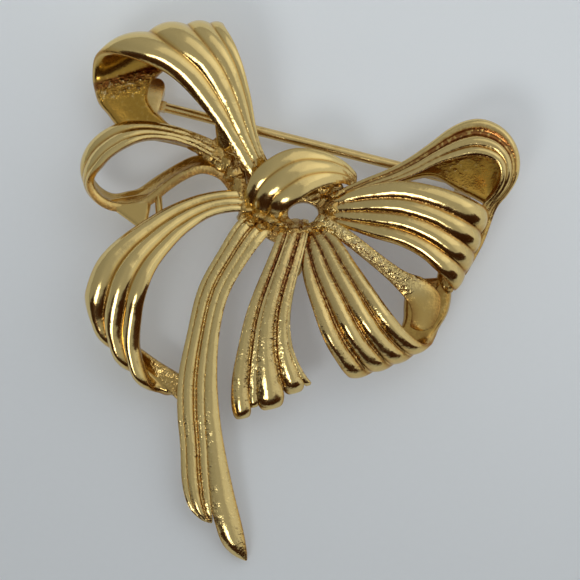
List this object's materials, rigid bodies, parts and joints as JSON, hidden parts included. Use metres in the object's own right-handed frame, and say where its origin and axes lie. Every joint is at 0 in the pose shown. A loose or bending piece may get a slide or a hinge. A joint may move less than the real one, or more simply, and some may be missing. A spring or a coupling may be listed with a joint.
{
  "type": "bow brooch",
  "caption": "Cast metal brooch in the shape of a ribbon bow with ribbed loops and two tails, and a hinged pin on its back that closes into a plain hook.",
  "frame": {"origin": "on the table under the middle of the whole outline, with the brooch lying on its back", "axes": "+Z out of the front, +Y towards the upper left loop's end of the long side, +X towards the right loops"},
  "size_m": [0.053, 0.0648, 0.0105],
  "materials": {
    "casting": "polished pale gold plate, pitted in the hollows",
    "findings": "polished gold plate"
  },
  "bodies": {
    "brooch": {"bow": "casting", "rivet": "findings"},
    "pin": {"pin_stem": "findings"}
  },
  "joints": [
    {"name": "pin_hinge", "type": "hinge", "parent": "brooch", "child": "pin", "pos_m": [-0.01764, 0.02311, 0.0015], "axis": [0.2489, 0.9685, 0], "range_deg": [0, 100]}
  ]
}
